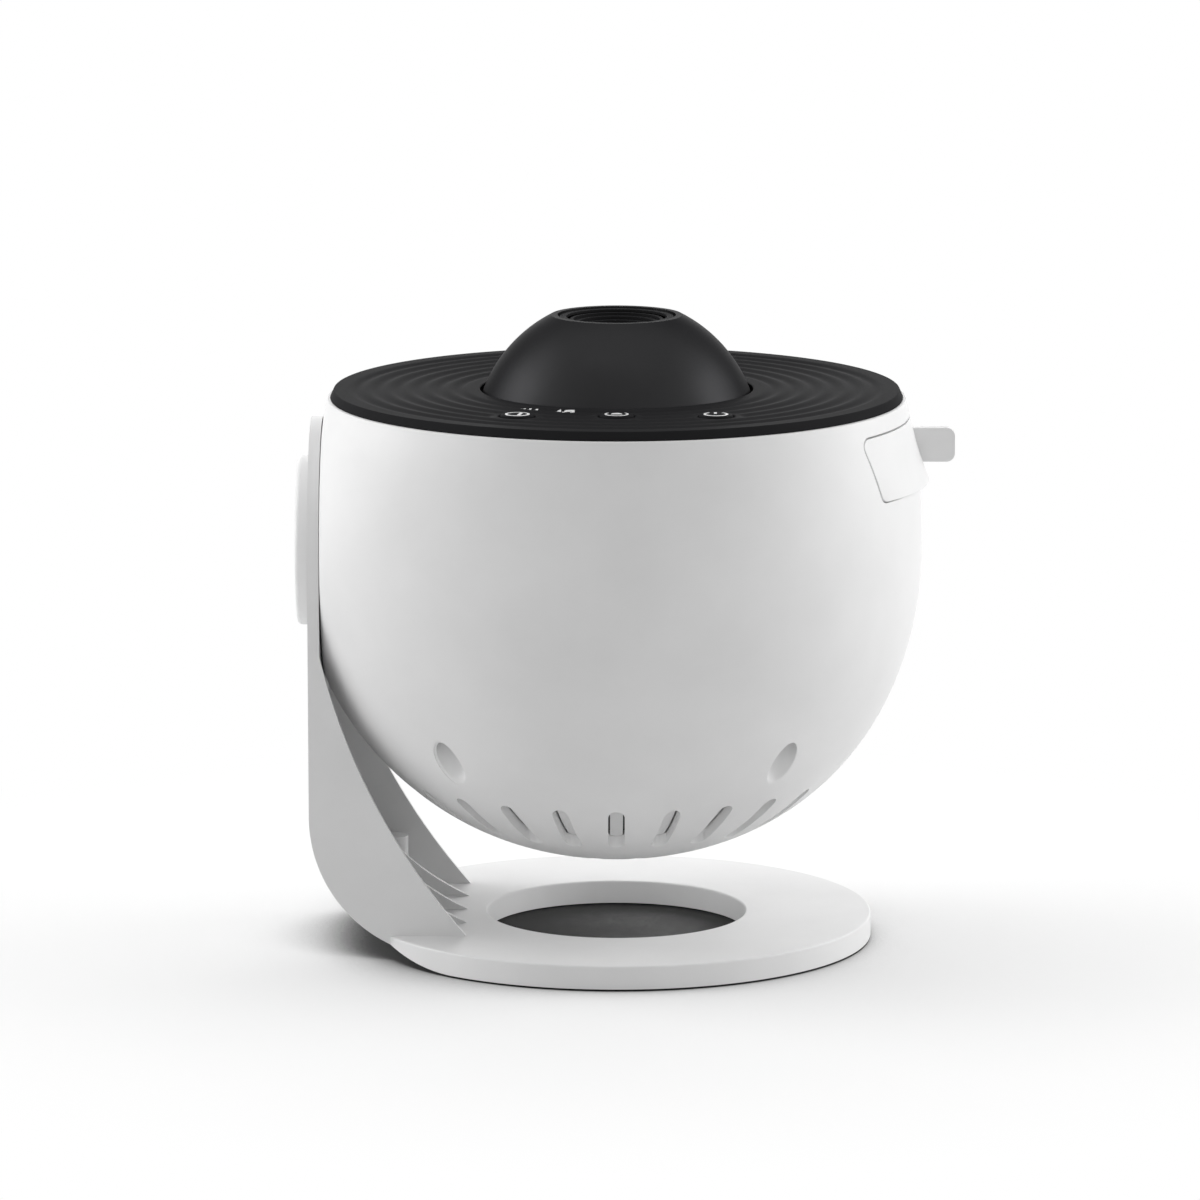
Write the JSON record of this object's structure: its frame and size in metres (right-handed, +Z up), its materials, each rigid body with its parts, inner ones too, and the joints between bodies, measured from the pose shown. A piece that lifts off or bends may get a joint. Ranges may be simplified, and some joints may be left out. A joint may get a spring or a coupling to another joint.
{
  "type": "home planetarium projector",
  "caption": "Ball-shaped star projector with a focus dome, push buttons and a sliding disc tray, tilting on one side arm over a ring base.",
  "frame": {"origin": "on the table, under the centre of the ring base", "axes": "+Z up; -Y is the front, where the buttons are; +X is the disc tray and its pull tab; -X is the arm; the head tilts about a line along X"},
  "size_m": [0.1613, 0.15, 0.1549],
  "materials": {
    "white_plastic": "fine matt moulded white",
    "black_plastic": "satin moulded black",
    "dome_black": "satin black with a soft sheen",
    "inner_plastic": "matt black moulding",
    "grey_plastic": "matt pale grey moulding",
    "gear_plastic": "natural nylon",
    "pad_rubber": "matt black",
    "screw_steel": "bright zinc",
    "weight_steel": "plain rolled",
    "motor_steel": "plated",
    "sink_aluminium": "extruded, bare",
    "pin_brass": "turned",
    "lens_glass": "polished, coated",
    "film": "dark film between clear sheets",
    "board_green": "green resist",
    "led_ceramic": "pale ceramic with a clear lens"
  },
  "bodies": {
    "stand": {"stand_arm": "white_plastic", "arm_webs": "white_plastic", "base_ring": "white_plastic", "base_cover": "grey_plastic", "base_weight": "weight_steel", "base_screws": "screw_steel", "base_pad": "pad_rubber", "pivot_bush": "gear_plastic", "friction_washer": "inner_plastic", "hinge_cap": "white_plastic"},
    "head": {"bowl_shell": "white_plastic", "screw_wells": "white_plastic", "board_posts": "white_plastic", "vent_baffle": "white_plastic", "case_screws": "screw_steel", "top_cap": "black_plastic", "hub_plate": "inner_plastic", "hub_screws": "screw_steel", "hinge_keeper": "screw_steel", "keeper_screws": "screw_steel", "tray_housing": "inner_plastic", "housing_screws": "screw_steel", "lens_guide": "inner_plastic", "condenser_holder": "inner_plastic", "condenser_lens": "lens_glass", "led_board": "board_green", "led_emitter": "led_ceramic", "heat_sink": "sink_aluminium", "lamp_screws": "screw_steel", "disc_motor": "motor_steel", "control_board": "board_green", "control_board_screws": "screw_steel", "tact_switches": "grey_plastic", "main_board": "board_green", "main_board_screws": "screw_steel", "power_jack": "inner_plastic"},
    "left_key": {"left_button": "black_plastic"},
    "middle_key": {"middle_button": "black_plastic"},
    "power_key": {"power_button": "black_plastic"},
    "dome": {"focus_dome": "dome_black"},
    "barrel": {"lens_barrel": "inner_plastic", "cam_pins": "pin_brass", "front_lens": "lens_glass", "rear_lens": "lens_glass", "lens_stop": "black_plastic"},
    "tray": {"disc_tray": "inner_plastic", "tray_door": "white_plastic", "door_screws": "screw_steel"},
    "disc": {"disc_carrier": "gear_plastic", "film_disc": "film", "disc_clip": "screw_steel"},
    "pinion": {"motor_shaft": "screw_steel", "drive_pinion": "gear_plastic"}
  },
  "joints": [
    {"name": "head_tilt", "type": "hinge", "parent": "stand", "child": "head", "pos_m": [-0.0718, 0, 0.099], "axis": [1, 0, 0], "range_deg": [-90, 90]},
    {"name": "left_key_press", "type": "slide", "parent": "head", "child": "left_key", "axis": [0, 0, -1], "range_m": [0, 0.0006], "stiffness_N_per_m": 1500},
    {"name": "middle_key_press", "type": "slide", "parent": "head", "child": "middle_key", "axis": [0, 0, -1], "range_m": [0, 0.0006], "stiffness_N_per_m": 1500},
    {"name": "power_key_press", "type": "slide", "parent": "head", "child": "power_key", "axis": [0, 0, -1], "range_m": [0, 0.0006], "stiffness_N_per_m": 1500},
    {"name": "focus_turn", "type": "hinge", "parent": "head", "child": "dome", "pos_m": [0, 0, 0.1338], "axis": [0, 0, 1], "range_deg": [-30, 30]},
    {"name": "lens_slide", "type": "slide", "parent": "head", "child": "barrel", "axis": [0, 0, 1], "range_m": [-0.0016, 0.0016]},
    {"name": "tray_slide", "type": "slide", "parent": "head", "child": "tray", "axis": [1, 0, 0], "range_m": [0, 0.088]},
    {"name": "disc_spin", "type": "hinge", "parent": "tray", "child": "disc", "pos_m": [0, 0, 0.1198], "axis": [0, 0, 1], "continuous": true},
    {"name": "pinion_spin", "type": "hinge", "parent": "head", "child": "pinion", "pos_m": [-0.036, 0, 0.1228], "axis": [0, 0, 1], "continuous": true}
  ],
  "couplings": [
    {"joint": "lens_slide", "follows": "focus_turn", "m_per_rad": 0.0028648},
    {"joint": "pinion_spin", "follows": "disc_spin", "ratio": -5}
  ]
}
